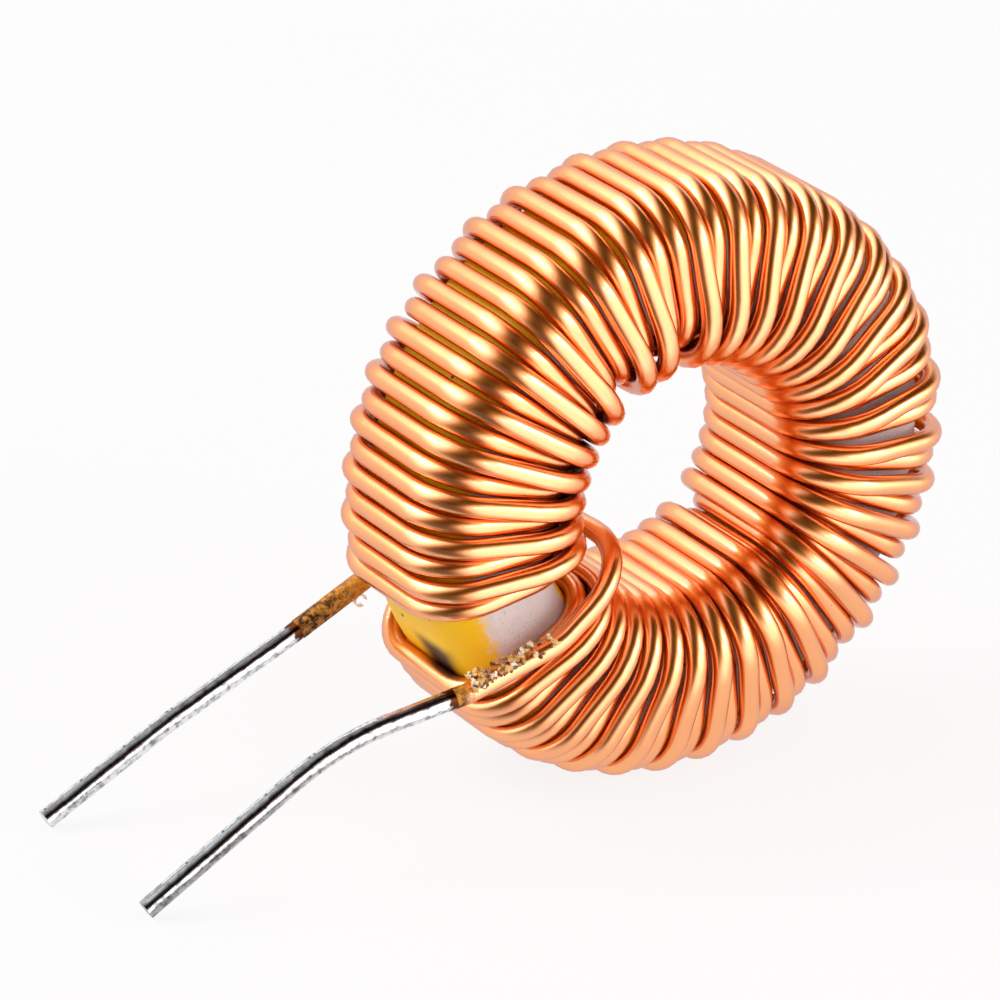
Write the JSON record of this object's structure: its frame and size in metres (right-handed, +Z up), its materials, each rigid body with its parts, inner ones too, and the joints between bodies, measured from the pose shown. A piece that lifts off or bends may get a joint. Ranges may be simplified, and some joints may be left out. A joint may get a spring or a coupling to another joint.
{
  "type": "toroidal inductor",
  "caption": "Ring-shaped powder core closely wound with one enamelled copper wire, with two stiff tinned wire ends for soldering.",
  "frame": {"origin": "on the surface the part stands on, under the middle of its bounding box", "axes": "+X from the lead tips towards the ring, +Y from the ring's white face to its plain yellow face along the ring's axis, +Z up"},
  "size_m": [0.028, 0.0074, 0.0188],
  "materials": {
    "iron_powder": "matt",
    "yellow_paint": "satin",
    "white_paint": "matt",
    "enamelled_copper": "gloss",
    "solder_tin": "gloss",
    "burnt_flux": "rough",
    "pale_enamel": "gloss"
  },
  "bodies": {
    "root": {"core": "iron_powder", "coat_yellow": "yellow_paint", "coat_white": "white_paint", "winding": "enamelled_copper", "front_lead_tin": "solder_tin", "rear_lead_tin": "solder_tin", "flux_crust": "burnt_flux", "enamel_flake": "pale_enamel"}
  },
  "joints": []
}
